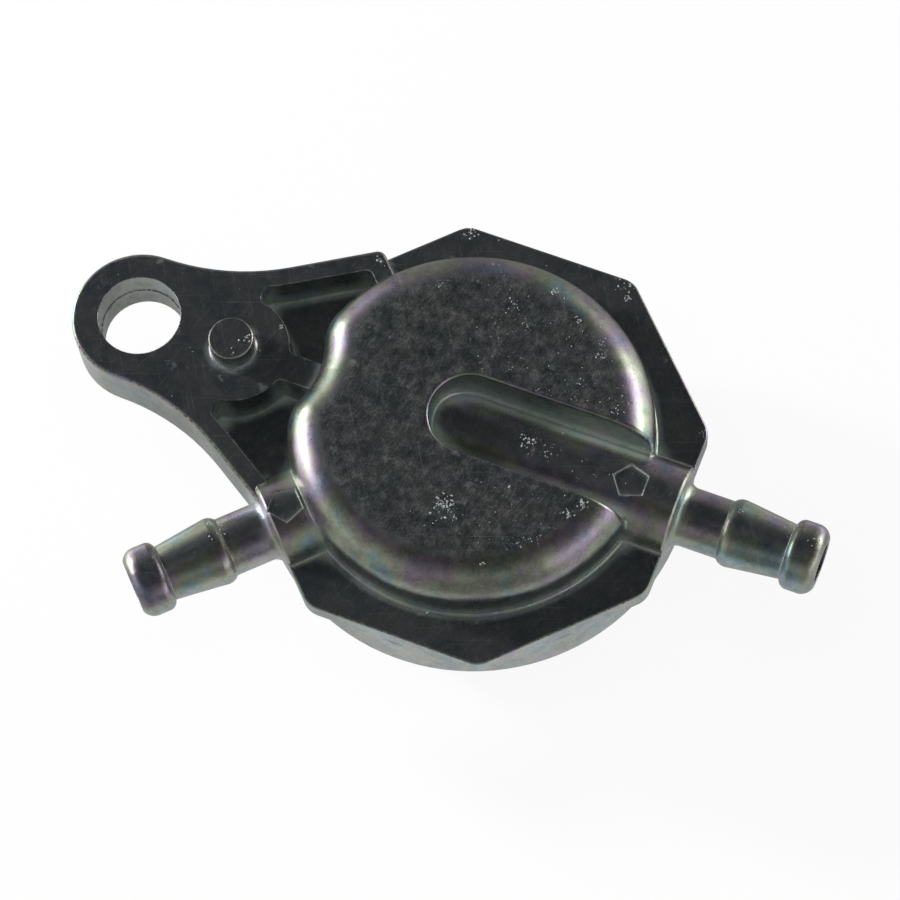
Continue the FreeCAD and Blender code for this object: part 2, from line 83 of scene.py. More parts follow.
# Studio: a dim room with two tall windows, one along -X and a narrower one behind the right side, and weaker
# light beside them. Flat metal faces look dark from above and rounded edges catch the light. The floor is
# white paper.
class Field:
    """One shader socket. Sums and products on it add Math nodes, and node() adds any other node."""

    def __init__(self, tree, socket=None):
        self.tree = tree
        self.socket = socket

    def node(self, kind, settings, values, output=0):
        """Any node, with its own settings, such as a ramp's stops, and values or fields for its inputs."""
        made = self.tree.nodes.new(kind)
        for key, value in settings.items():
            if key == "stops":
                ramp = made.color_ramp
                while len(ramp.elements) < len(value):
                    ramp.elements.new(0.5)
                for stop, (place, colour) in zip(ramp.elements, value):
                    stop.position = place
                    stop.color = (*colour, 1.0)
            else:
                setattr(made, key, value)
        for key, value in values.items():
            if isinstance(value, Field):
                self.tree.links.new(value.socket, made.inputs[key])
            else:
                made.inputs[key].default_value = value
        return Field(self.tree, made.outputs[output])

    def math(self, operation, *others):
        values = {0: self, **{i + 1: other for i, other in enumerate(others)}}
        return self.node("ShaderNodeMath", {"operation": operation}, values)

    def vector(self, operation, other=None, output=0):
        values = {0: self} if other is None else {0: self, 1: other}
        return self.node("ShaderNodeVectorMath", {"operation": operation}, values, output)

    def __add__(self, other):
        return self.math("ADD", other)

    def __mul__(self, other):
        return self.math("MULTIPLY", other)

    def __sub__(self, other):
        return self.math("SUBTRACT", other)

    def __rsub__(self, other):
        return self.node("ShaderNodeMath", {"operation": "SUBTRACT"}, {0: other, 1: self})

    __radd__ = __add__
    __rmul__ = __mul__

    def step(self, low, high):
        """0 below low, 1 above high and smooth between them."""
        return self.node("ShaderNodeMapRange", {"interpolation_type": "SMOOTHSTEP"},
                         {"Value": self, "From Min": low, "From Max": high})

    def axis(self, index):
        return self.node("ShaderNodeSeparateXYZ", {}, {"Vector": self}, index)

    def tint(self, mask, colour, blend="MIX"):
        """This colour with another one laid over it where the mask is 1."""
        return self.node("ShaderNodeMix", {"data_type": "RGBA", "blend_type": blend},
                         {"Factor": mask, 6: self, 7: colour}, 2)


def rgb(red, green, blue):
    return (red, green, blue, 1.0)


# Each window: azimuth, half width where it is full and where it ends (degrees), and brightness. Above them
# the walls grow plain, a little brighter in front, and darken towards the zenith.
windows = [(180, 8, 24, 5.3), (205, 10, 62, 0.50), (158, 5, 30, 0.75),
           (47, 5, 19, 4.4), (68, 5, 30, 0.50), (0, 8, 46, 1.10)]
horizon_level = 0.20
zenith_level = 0.045
wall_middle = 0.25
wall_swing = 0.09


def window_light(direction):
    """Brightness of the windows seen along a direction, by its azimuth alone."""
    level = direction.vector("MULTIPLY", (1, 1, 0)).vector("NORMALIZE")
    total = horizon_level
    for azimuth, inner, outer, bright in windows:
        along = (math.cos(math.radians(azimuth)), math.sin(math.radians(azimuth)), 0)
        facing = level.vector("DOT_PRODUCT", along, "Value")
        total = total + facing.step(math.cos(math.radians(outer)), math.cos(math.radians(inner))) * bright
    return total


world = bpy.data.worlds.new("studio")
scene.world = world
world.use_nodes = True
tree = world.node_tree
tree.nodes.clear()
start = Field(tree)
direction = start.node("ShaderNodeTexCoord", {}, {}, "Generated")
steepness = direction.axis(2)
upper_wall = steepness.step(math.sin(math.radians(8)), math.sin(math.radians(30)))
ceiling = steepness.step(math.sin(math.radians(20)), math.sin(math.radians(60)))
front_azimuth = math.radians(290)
front_side = (math.cos(front_azimuth), math.sin(front_azimuth), 0)
wall = wall_middle + direction.vector("DOT_PRODUCT", front_side, "Value") * wall_swing
plain_wall = wall + (zenith_level - wall) * ceiling
room = window_light(direction) * (1 - upper_wall) + plain_wall * upper_wall
seen = start.node("ShaderNodeLightPath", {}, {}, "Is Camera Ray")
strength = room * (1 - seen) + seen
sky = start.node("ShaderNodeBackground", {}, {"Color": rgb(1, 1, 1), "Strength": strength})
output = tree.nodes.new("ShaderNodeOutputWorld")
tree.links.new(sky.socket, output.inputs["Surface"])

# Two soft boxes light paints and plastics, and aren't mirrored in the metal: a wide one overhead, and a
# small low one on the left that gives the peg its long shadow across the arm.
for name, size, energy, place in (("overhead_box", 0.5, 1.7, (0.05, -0.10, 0.70)),
                                  ("left_box", 0.08, 5.0, (-0.58, 0.02, 0.25))):
    box_data = bpy.data.lights.new(name, "AREA")
    box_data.size = size
    box_data.energy = energy
    soft_box = bpy.data.objects.new(name, box_data)
    soft_box.location = place
    soft_box.rotation_euler = Vector(place).to_track_quat("Z", "Y").to_euler()
    soft_box.visible_glossy = False
    scene.collection.objects.link(soft_box)

# The floor lies a hair below the cover's flat underside. In reflections it glows with painted light: near the
# tap a painted pool like shaded paper, brighter in front, and further off a dimmer painted copy of the
# windows.
floor_size = 3.0
floor_gap = 0.02
near_middle = 0.45
near_swing = 0.28
far_share = 0.34
far_base = 0.13
floor_mesh = bpy.data.meshes.new("floor")
corners = [(-floor_size, -floor_size, 0), (floor_size, -floor_size, 0),
           (floor_size, floor_size, 0), (-floor_size, floor_size, 0)]
floor_mesh.from_pydata(corners, [], [(0, 1, 2, 3)])
floor = bpy.data.objects.new("floor", floor_mesh)
floor.location.z = -floor_gap * MM
scene.collection.objects.link(floor)
floor_paint = bpy.data.materials.new("floor_paper")
floor_paint.use_nodes = True
tree = floor_paint.node_tree
tree.nodes.clear()
start = Field(tree)
paper = start.node("ShaderNodeBsdfDiffuse", {}, {"Color": rgb(0.86, 0.86, 0.85)})
place = start.node("ShaderNodeTexCoord", {}, {}, "Object")
distance = place.vector("LENGTH", None, "Value")
far_off = distance.step(34 * MM, 80 * MM)
outward = place.vector("MULTIPLY", (1, 1, 0)).vector("NORMALIZE")
near_level = near_middle + outward.vector("DOT_PRODUCT", front_side, "Value") * near_swing
far_level = window_light(place) * far_share + far_base
# Painted light: how strongly the floor glows in reflections, by its place on the floor
painted_reflection_glow = far_level * far_off + near_level * (1 - far_off)
camera_ray = start.node("ShaderNodeLightPath", {}, {}, "Is Camera Ray")
glossy_ray = start.node("ShaderNodeLightPath", {}, {}, "Is Glossy Ray")
shine_through = start.node("ShaderNodeLightPath", {}, {}, "Is Transmission Ray")
glow_strength = glossy_ray * painted_reflection_glow + (1 - glossy_ray)
glow = start.node("ShaderNodeEmission", {}, {"Color": rgb(1, 1, 1), "Strength": glow_strength})
white_share = 0.92
seen_white = camera_ray.math("MAXIMUM", glossy_ray).math("MAXIMUM", shine_through) * white_share
surface = start.node("ShaderNodeMixShader", {}, {0: seen_white, 1: paper, 2: glow})
output = tree.nodes.new("ShaderNodeOutputMaterial")
tree.links.new(surface.socket, output.inputs["Surface"])
floor_mesh.materials.append(floor_paint)


# Body: one zinc die casting with drum, flange, arm, peg and both barbs. Its dark passivation shows faint
# rainbow colours, the edges are rubbed pale and white zinc corrosion has grown on it in patches.
def new_finish(name):
    """A material with its shader, and the field that its other nodes start from."""
    material = bpy.data.materials.new(name)
    material.use_nodes = True
    shader = material.node_tree.nodes["Principled BSDF"]
    return material, shader, Field(material.node_tree)


def feed(shader, **sockets):
    """Fills inputs of a shader. An underscore stands for the space in an input's name."""
    for name, value in sockets.items():
        target = shader.inputs[name.replace("_", " ")]
        if isinstance(value, Field):
            value.tree.links.new(value.socket, target)
        else:
            target.default_value = value


def dress(node, material):
    """Gives a CAD node its finish."""
    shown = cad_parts[node]
    shown.data.materials.clear()
    shown.data.materials.append(material)


def in_mm(start, shift=0.0):
    """Places on the piece in mm, shifted so that two finishes don't share their clouds."""
    place = start.node("ShaderNodeTexCoord", {}, {}, "Object")
    scaled = start.node("ShaderNodeVectorMath", {"operation": "SCALE"}, {0: place, "Scale": 1000.0})
    return scaled.vector("ADD", (shift, shift, shift))


def cloud(place, scale, detail=3.0, rough=0.55):
    """Soft noise around 0.5, with scale clouds to a millimetre."""
    return place.node("ShaderNodeTexNoise", {}, {
        "Vector": place, "Scale": scale, "Detail": detail, "Roughness": rough})


def streaks(place, degrees, length, width):
    """Noise drawn out along one direction in the plan, for scratches and wipe marks."""
    turned = place.node("ShaderNodeVectorRotate", {"rotation_type": "Z_AXIS"}, {
        "Vector": place, "Angle": math.radians(degrees)})
    stretched = turned.vector("MULTIPLY", (1 / length, 1 / width, 1 / length))
    return cloud(stretched, 1.0, 2.0, 0.5)


def cast_zinc(name, seed, drum_z, film):
    """Passivated die casting. Flat faces at the height drum_z are rougher. film sets how strong the rainbow
    colours are."""
    material, shader, start = new_finish(name)
    true_place = in_mm(start)
    place = true_place.vector("ADD", (seed, seed, seed))

    # Where edges are sharp enough to be rubbed, where faces lie flat, and how sheltered each corner is
    rubbed_width = 0.16
    shelter_reach = 1.8
    normal = start.node("ShaderNodeNewGeometry", {}, {}, "Normal")
    soft_edge = start.node("ShaderNodeBevel", {"samples": 6}, {"Radius": rubbed_width * MM})
    edge = (1 - soft_edge.vector("DOT_PRODUCT", normal, "Value")).step(0.01, 0.12)
    upright = normal.axis(2)
    flat = upright.math("ABSOLUTE").step(0.93, 0.999)
    on_drum = flat * true_place.axis(2).step(drum_z - 0.4, drum_z - 0.1)
    open_air = start.node("ShaderNodeAmbientOcclusion", {"samples": 4, "only_local": True},
                          {"Distance": shelter_reach * MM}, "AO")
    sheltered = (1 - open_air).step(0.12, 0.50) * (1 - flat * open_air.step(0.50, 0.75))

    # Grey metal in clouds, under a thin film whose colour changes with its thickness
    blotch = cloud(place, 0.16, 4.0)
    mottle = cloud(place, 0.9, 6.0, 0.66)
    grain = cloud(place, 4.0, 4.0, 0.75)
    tone = (blotch * 0.4 + mottle * 0.35 + grain * 0.25).step(0.40, 0.60)
    base = start.node("ShaderNodeValToRGB", {"stops": [
        (0.0, (0.27, 0.295, 0.30)), (0.5, (0.38, 0.405, 0.41)), (1.0, (0.49, 0.51, 0.51))]}, {"Fac": tone})
    hue = cloud(place, 0.22, 3.0, 0.55) * 0.8 + upright * 0.12 + 0.06
    rainbow = start.node("ShaderNodeValToRGB", {"stops": [
        (0.34, (0.68, 0.82, 1.0)), (0.42, (0.68, 0.97, 0.92)), (0.48, (0.96, 1.0, 0.70)),
        (0.54, (1.0, 0.93, 0.78)), (0.60, (1.0, 0.75, 0.96)), (0.68, (0.70, 0.74, 1.0))]}, {"Fac": hue})
    leaning = upright.math("ABSOLUTE").step(0.05, 0.45)
    base = base.tint((1 - flat) * (0.4 + leaning * 0.6) * film, rainbow, "MULTIPLY")

    # Flat faces get a darker colour, painted shade for the dark ceiling they face, with a fine grain on the
    # drum and smoother clouds elsewhere
    fine = cloud(place, 6.5, 3.0, 0.7)
    dashes = streaks(place, -79, 0.8, 0.12)
    speckle = (mottle * 0.40 + grain * 0.20 + fine * 0.22 + dashes * 0.18).step(0.40, 0.60)
    shaded_flat_colour = start.node("ShaderNodeValToRGB", {"stops": [
        (0.0, (0.10, 0.11, 0.115)), (0.45, (0.185, 0.195, 0.20)), (0.8, (0.265, 0.27, 0.27)),
        (1.0, (0.43, 0.43, 0.42))]}, {"Fac": speckle})
    shaded_flat_colour = shaded_flat_colour.tint((1 - on_drum) * 0.75, rgb(0.185, 0.197, 0.208))
    warmth = cloud(place, 0.30, 4.0, 0.6).step(0.34, 0.66)
    tint = start.node("ShaderNodeValToRGB", {"stops": [
        (0.0, (0.66, 0.74, 0.78)), (0.5, (0.94, 0.98, 1.0)), (1.0, (1.0, 0.99, 0.95))]}, {"Fac": warmth})
    shaded_flat_colour = shaded_flat_colour.tint(0.75, tint, "MULTIPLY")
    # Painted shade: faces that lie flat take the darker colour
    base = base.tint(flat, shaded_flat_colour)
    base = base.tint(sheltered * 0.75, rgb(0.37, 0.45, 0.40))

    # Rubbed edges, long scratches, and a dull haze on the flat faces
    wear = edge * (mottle * 0.5 + grain * 0.5).step(0.44, 0.56)
    base = base.tint(wear * 0.85, rgb(0.70, 0.70, 0.66))
    scratch = streaks(place, 57, 6.0, 0.09).step(0.66, 0.71) + streaks(place, -20, 9.0, 0.10).step(0.68, 0.73)
    scratch = scratch + streaks(place, 110, 4.0, 0.08).step(0.67, 0.72)
    base = base.tint(scratch * 0.45, rgb(0.52, 0.52, 0.51))
    haze = cloud(place, 0.7, 5.0, 0.7).step(0.60, 0.72) * flat
    base = base.tint(haze * 0.30, rgb(0.60, 0.61, 0.60))

    metallic = 0.97 - flat * 0.07 - sheltered * 0.62 - haze * 0.10 - wear * 0.22
    rough = 0.19 + mottle * 0.14 + grain * 0.06 + flat * 0.02
    rough = rough + on_drum * 0.10 + haze * 0.12 + wear * 0.10
    feed(shader, Base_Color=base, Metallic=metallic, Roughness=rough)
    bump = start.node("ShaderNodeBump", {}, {
        "Height": mottle * 0.4 + grain * 0.6, "Strength": 0.45, "Distance": 0.03 * MM, "Normal": soft_edge})
    feed(shader, Normal=bump)
    return material


drum_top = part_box("tap_body")[1].z / MM
body_zinc = cast_zinc("body_zinc", 3.0, drum_top, 0.85)
dress("tap_body", body_zinc)


def add_piece(name, mesh_maker, material, body="casing"):
    """Turns a bmesh into a piece that rides on a body."""
    mesh = bpy.data.meshes.new(name)
    bmesh.ops.recalc_face_normals(mesh_maker, faces=mesh_maker.faces)
    mesh_maker.to_mesh(mesh)
    mesh_maker.free()
    mesh.materials.append(material)
    piece = bpy.data.objects.new(name, mesh)
    scene.collection.objects.link(piece)
    if body:
        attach(piece, body)
    return piece


def spun(profile, steps, x=0.0, y=0.0):
    """Closed ring of revolution about a vertical axis. The profile is a closed loop of (r, z) in mm."""
    shape = bmesh.new()
    rings = []
    for i in range(steps):
        a = math.tau * i / steps
        rings.append([shape.verts.new(Vector((x + r * math.cos(a), y + r * math.sin(a), z)) * MM)
                      for r, z in profile])
    count = len(profile)
    for ring, after in zip(rings, rings[1:] + rings[:1]):
        for k in range(count):
            face = shape.faces.new((ring[k], ring[(k + 1) % count], after[(k + 1) % count], after[k]))
            face.smooth = True
    return shape


# Cove at the foot of the locating peg, left by the radius in the mould where the peg rises from the arm.
# Part of the same zinc casting.
arm_top = 19.0
peg_x = -23.9
peg_r = 2.1
cove_r = 0.20
cove_steps = 6
sunk = 0.05
proud = 0.004
cove = [(peg_r - sunk, arm_top - sunk), (peg_r + cove_r, arm_top - sunk)]
for i in range(cove_steps + 1):
    a = math.pi / 2 * i / cove_steps
    cove.append((peg_r + cove_r * (1 - math.sin(a)), arm_top + cove_r * (1 - math.cos(a)) + proud))
cove.append((peg_r - sunk, arm_top + cove_r))
add_piece("peg_cove", spun(cove, 72, peg_x), body_zinc)


# Casting flash: thin torn ridges of zinc that the trimming tool left where the mould halves met, along the
# arm's lower edge, round the flange and halfway down the eye.
def torn_ridge(name, path, half_t, height, evenness, seed, material):
    """Ridge along a path of (point, outward direction, direction across), in mm. evenness 1 leaves its height
    whole, and 0 tears it down to its root in places."""
    lowest = 0.012
    root = 0.05
    slow_wave = 0.31
    quick_wave = 0.9
    chance = random.Random(seed)
    shape = bmesh.new()
    sections = []
    for i, (point, outward, side) in enumerate(path):
        slow = noise.noise(Vector((i * slow_wave, seed, 0.0)))
        quick = noise.noise(Vector((i * quick_wave, seed, 5.0)))
        ragged = slow + 0.6 * quick
        left = 0.35 + ragged + 0.35 * (chance.random() - 0.5)
        tall = max(lowest, height * (evenness + (1 - evenness) * left))
        lean = 0.5 * half_t * (chance.random() - 0.5)
        foot = point - outward * root
        corners = (foot - side * half_t, foot + side * half_t, point + outward * tall + side * lean)
        sections.append([shape.verts.new(corner * MM) for corner in corners])
    for before, after in zip(sections, sections[1:]):
        for k in range(3):
            shape.faces.new((before[k], before[(k + 1) % 3], after[(k + 1) % 3], after[k]))
    shape.faces.new(sections[0])
    shape.faces.new(sections[-1])
    add_piece(name, shape, material)


def flash_zinc():
    """Torn zinc, in patches from dark to bare and bright."""
    material, shader, start = new_finish("flash_zinc")
    place = in_mm(start, 7.0)
    torn = cloud(place, 3.0, 3.0, 0.7).step(0.42, 0.60)
    base = start.node("ShaderNodeValToRGB", {"stops": [
        (0.0, (0.16, 0.17, 0.17)), (0.55, (0.42, 0.42, 0.40)), (1.0, (0.82, 0.81, 0.76))]}, {"Fac": torn})
    feed(shader, Base_Color=base, Metallic=0.92, Roughness=0.55 - torn * 0.2)
    return material


torn_zinc = flash_zinc()
up = Vector((0, 0, 1))
step_mm = 0.11
eye_x = -33.5
eye_r = 6.4
eye_start = math.radians(220)
eye_sweep = math.radians(50)
waist_r = 22.0
waist_sweep = math.radians(31.5)
arm_edge_z = 18.86
edge_inset = 0.13
lower_edge = []
for i in range(int(eye_sweep * eye_r / step_mm)):
    a = eye_start + i * step_mm / eye_r
    outward = Vector((math.cos(a), math.sin(a), 0))
    lower_edge.append((Vector((eye_x, 0, arm_edge_z)) + outward * (eye_r - edge_inset), outward))
for i in range(int(waist_sweep * waist_r / step_mm)):
    a = i * step_mm / waist_r
    outward = Vector((-math.sin(a), -math.cos(a), 0))
    centre = Vector((eye_x, -(eye_r + waist_r), arm_edge_z))
    lower_edge.append((centre - outward * (waist_r + edge_inset), outward))
flare_start = lower_edge[-1][0]
flare_end = Vector((-14.95, -13.8, arm_edge_z))
for i in range(1, int((flare_end - flare_start).length / step_mm)):
    along = (flare_end - flare_start).normalized()
    lower_edge.append((flare_start + along * step_mm * i, Vector((along.y, -along.x, 0))))
arm_tilt = 0.6
slant = [(point, (outward + up * arm_tilt).normalized(), (up - outward * arm_tilt).normalized())
         for point, outward in lower_edge]
torn_ridge("arm_flash", slant, 0.05, 0.17, 0.0, 11, torn_zinc)

flat_r = 20.325
flange_edge_z = 16.33
flange_inset = 0.08
flange_tilt = 0.8
# Each torn stretch: the side of the octagon it is on (degrees), and where it begins and ends along that side
flange_edges = ((225, 4.7, 6.2), (270, -6.2, 7.6), (315, -7.6, 7.2))
for number, (degrees, s0, s1) in enumerate(flange_edges):
    outward = Vector((math.cos(math.radians(degrees)), math.sin(math.radians(degrees)), 0))
    along = Vector((-outward.y, outward.x, 0))
    raised = (outward + up * flange_tilt).normalized()
    across = (up - outward * flange_tilt).normalized()
    path = []
    for i in range(int((s1 - s0) / step_mm)):
        point = outward * (flat_r - flange_inset) + along * (s0 + i * step_mm) + up * flange_edge_z
        path.append((point, raised, across))
    torn_ridge("flange_flash_" + "abc"[number], path, 0.045, 0.13, 0.0, 20 + number, torn_zinc)

bore_r = 3.9
parting_z = 16.1
bore_steps = int(math.tau * bore_r / step_mm)
parting = []
for i in range(bore_steps):
    a = math.tau * i / bore_steps
    outward = Vector((math.cos(a), math.sin(a), 0))
    wander = 0.25 * noise.noise(Vector((math.cos(a) * 3, math.sin(a) * 3, 2.0)))
    parting.append((Vector((eye_x, 0, parting_z + wander)) + outward * bore_r, -outward, up))
torn_ridge("eye_parting_line", parting, 0.08, 0.12, 0.45, 31, body_zinc)


# White corrosion: crusts of zinc salt that grew on the drum, the flange corners, the slot and the peg.
# Each crumb is a small flat lump that sits on the casting.
def salt():
    """Dull grey-white powder."""
    material, shader, start = new_finish("zinc_salt")
    place = in_mm(start, 13.0)
    powder = cloud(place, 6.0, 4.0, 0.7).step(0.40, 0.62)
    base = start.node("ShaderNodeValToRGB", {"stops": [
        (0.0, (0.17, 0.18, 0.19)), (0.5, (0.30, 0.315, 0.325)), (1.0, (0.50, 0.52, 0.52))]}, {"Fac": powder})
    bump = start.node("ShaderNodeBump", {}, {"Height": powder, "Strength": 0.6, "Distance": 0.02 * MM})
    feed(shader, Base_Color=base, Metallic=0.0, Roughness=0.75 + powder * 0.2, Normal=bump)
    return material


body_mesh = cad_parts["tap_body"].data
surface_tree = BVHTree.FromPolygons([vert.co for vert in body_mesh.vertices],
                                    [face.vertices for face in body_mesh.polygons])
# Each patch: x, y, spread, how many crumbs, and their usual size, all in mm
patches = [(1.0, -9.6, 1.3, 46, 0.10), (1.3, -9.0, 0.6, 16, 0.12), (-8.0, 19.6, 0.8, 22, 0.10),
           (-4.8, 20.2, 0.5, 7, 0.08), (8.1, 19.7, 0.9, 22, 0.10), (8.6, 18.6, 0.5, 8, 0.09),
           (19.7, 8.2, 0.4, 8, 0.09), (-7.1, 11.1, 0.5, 6, 0.07), (-2.8, 14.8, 0.5, 6, 0.07),
           (0.0, 11.5, 0.7, 12, 0.08), (3.1, 13.9, 0.6, 12, 0.10), (6.2, 12.1, 0.6, 11, 0.09),
           (1.8, 9.9, 0.6, 8, 0.07), (9.2, 9.4, 0.7, 13, 0.09), (9.0, 10.8, 0.5, 7, 0.08),
           (12.6, 4.9, 0.6, 9, 0.09), (12.9, 6.3, 0.5, 6, 0.09), (1.8, 5.4, 0.5, 4, 0.06),
           (8.6, 6.1, 0.6, 6, 0.08), (5.3, 0.2, 0.9, 22, 0.10), (6.0, 0.5, 0.4, 8, 0.11),
           (8.0, 3.2, 0.6, 11, 0.10), (8.1, 0.0, 1.0, 11, 0.08), (11.8, -6.2, 0.7, 14, 0.10),
           (12.7, -4.9, 0.6, 15, 0.11), (13.1, -2.9, 0.4, 5, 0.09), (6.2, -5.4, 0.3, 3, 0.09),
           (8.9, -10.1, 0.6, 7, 0.08), (6.4, -12.9, 0.6, 6, 0.08), (10.1, -9.5, 0.6, 6, 0.08),
           (-20.5, 3.6, 0.3, 6, 0.10), (-14.4, 13.0, 0.5, 9, 0.09), (-22.3, 0.6, 0.5, 16, 0.10),
           (-23.6, -1.5, 0.7, 5, 0.06), (2.3, -17.1, 0.12, 4, 0.11), (15.6, 3.7, 0.2, 4, 0.10),
           (31.3, 1.6, 0.9, 10, 0.08), (33.2, 0.5, 0.7, 7, 0.08), (26.2, 1.2, 0.5, 5, 0.08),
           (-18.5, -17.6, 0.9, 10, 0.08), (-22.6, -21.4, 0.8, 7, 0.08)]
# Single dots: low and high corner of a field in the plan, how many, and their usual size
fields = [(-3.0, 4.0, 13.0, 15.0, 150, 0.055), (-14.0, -12.0, 14.0, 14.0, 130, 0.045),
          (3.0, -13.0, 14.0, -6.0, 45, 0.055), (3.0, -2.5, 16.0, 2.5, 40, 0.05),
          (-38.0, -8.0, -14.0, 14.0, 60, 0.045), (-12.0, -19.0, 20.0, 20.0, 50, 0.045)]


def crumb(shape, chance, x, y, size):
    """One lump on the casting below the point (x, y), unless the wall there is too steep to hold it."""
    above = Vector((x, y, 40)) * MM
    steepest = 0.25
    flatness = 0.42
    lumpiness = 0.55
    lumps_per_mm = 9.0
    coarse_below = 0.07
    place, normal, _, _ = surface_tree.ray_cast(above, Vector((0, 0, -1)))
    if place is None or normal.z < steepest:
        return
    turn = normal.to_track_quat("Z", "Y").to_matrix().to_4x4()
    spin = Matrix.Rotation(chance.uniform(0, math.tau), 4, "Z")
    form = Matrix.Diagonal((size * chance.uniform(0.7, 1.4), size * chance.uniform(0.6, 1.0),
                            size * flatness, 1))
    made = bmesh.ops.create_icosphere(shape, subdivisions=1 if size < coarse_below else 2, radius=MM,
                                      matrix=Matrix.Translation(place) @ turn @ spin @ form)
    for vert in made["verts"]:
        away = vert.co - place
        vert.co = place + away * (1 + lumpiness * noise.noise(vert.co / MM * lumps_per_mm))


chance = random.Random(5)
crust = bmesh.new()
for x, y, spread, count, size in patches:
    for _ in range(count):
        crumb(crust, chance, chance.gauss(x, spread * 0.5), chance.gauss(y, spread * 0.5),
              size * chance.uniform(0.45, 1.25))
for x0, y0, x1, y1, count, size in fields:
    for _ in range(count):
        crumb(crust, chance, chance.uniform(x0, x1), chance.uniform(y0, y1), size * chance.uniform(0.5, 1.3))
add_piece("zinc_salt_crust", crust, salt())


# Valve seal: a disc of nitrile rubber, moulded flat and glued to the head of the stem. It closes the seat in
# the drum.
def moulded_rubber(name, seed, weave):
    """Black nitrile rubber. weave sets how far the cloth inside shows through."""
    material, shader, start = new_finish(name)
    place = in_mm(start, seed)
    bloom = cloud(place, 0.6, 4.0, 0.6).step(0.42, 0.66)
    pores = cloud(place, 7.0, 2.0, 0.6)
    base = start.node("ShaderNodeValToRGB", {"stops": [
        (0.0, (0.012, 0.012, 0.013)), (0.6, (0.026, 0.026, 0.027)), (1.0, (0.065, 0.063, 0.058))]},
        {"Fac": bloom * 0.7 + pores * 0.3})
    thread_pitch = 0.45
    warp = (place.axis(0) * (math.tau / thread_pitch)).math("SINE")
    weft = (place.axis(1) * (math.tau / thread_pitch)).math("SINE")
    cloth = warp * weft
    bump = start.node("ShaderNodeBump", {}, {
        "Height": cloth * weave + pores, "Strength": 0.5, "Distance": 0.03 * MM})
    feed(shader, Base_Color=base, Roughness=0.50 + bloom * 0.25 + pores * 0.08, Normal=bump)
    return material


dress("valve_seal", moulded_rubber("seal_nitrile", 4.0, 0.0))


# Valve stem: turned from brass rod, with a flat head at its top. It ties the seal, both diaphragms and the
# pressure plate together.
def turned_metal(name, colours, seed, pitch, metallic, rough):
    """Metal or plastic off a lathe, with fine tool marks round its axis, pitch mm apart. The colours run from
    dark to light."""
    material, shader, start = new_finish(name)
    true_place = in_mm(start)
    place = true_place.vector("ADD", (seed, seed, seed))
    normal = start.node("ShaderNodeNewGeometry", {}, {}, "Normal")
    facing_up = normal.axis(2).math("ABSOLUTE").step(0.4, 0.9)
    radius = true_place.vector("MULTIPLY", (1, 1, 0)).vector("LENGTH", None, "Value")
    across = radius * facing_up + true_place.axis(2) * (1 - facing_up)
    wobble = cloud(place, 0.8, 2.0)
    marks = ((across + wobble * 0.05) * (math.tau / pitch)).math("SINE")
    tarnish = cloud(place, 0.5, 5.0, 0.62).step(0.36, 0.66)
    dark, middle, light = colours
    base = start.node("ShaderNodeValToRGB", {"stops": [(0.0, dark), (0.5, middle), (1.0, light)]},
                      {"Fac": tarnish * 0.8 + marks * 0.10 + 0.1})
    handled = streaks(place, 35, 3.0, 0.12).step(0.66, 0.72)
    base = base.tint(handled * 0.35, (*[min(1.0, c * 1.25) for c in light], 1.0))
    bump = start.node("ShaderNodeBump", {}, {
        "Height": marks * 0.5 + wobble, "Strength": 0.35, "Distance": 0.012 * MM})
    feed(shader, Base_Color=base, Metallic=metallic, Roughness=rough + tarnish * 0.12, Normal=bump)
    return material


brass_colours = ((0.38, 0.25, 0.09), (0.60, 0.44, 0.18), (0.72, 0.56, 0.28))
brass = turned_metal("turned_brass", brass_colours, 5.0, 0.13, 1.0, 0.22)
dress("valve_stem", brass)


# Fuel diaphragm: cloth-backed rubber, moulded as one sheet. Its rim is clamped under the body and bulges a
# little, its centre moves with the stem, and a thin roll joins them.
diaphragm_rubber = moulded_rubber("diaphragm_nitrile", 9.0, 0.8)
sheet_t = 0.7
half_sheet = sheet_t / 2
rise = 1.8
rim_outer_r = 18.0
roll_outer_r = 10.4
roll_inner_r = 7.4
stem_hole_r = 1.55
screw_circle_r = 14.8
screw_pass_r = 1.7
screw_angles = [67.5, 157.5, 247.5, 337.5]
roll_t = 0.42
tuck = 0.15


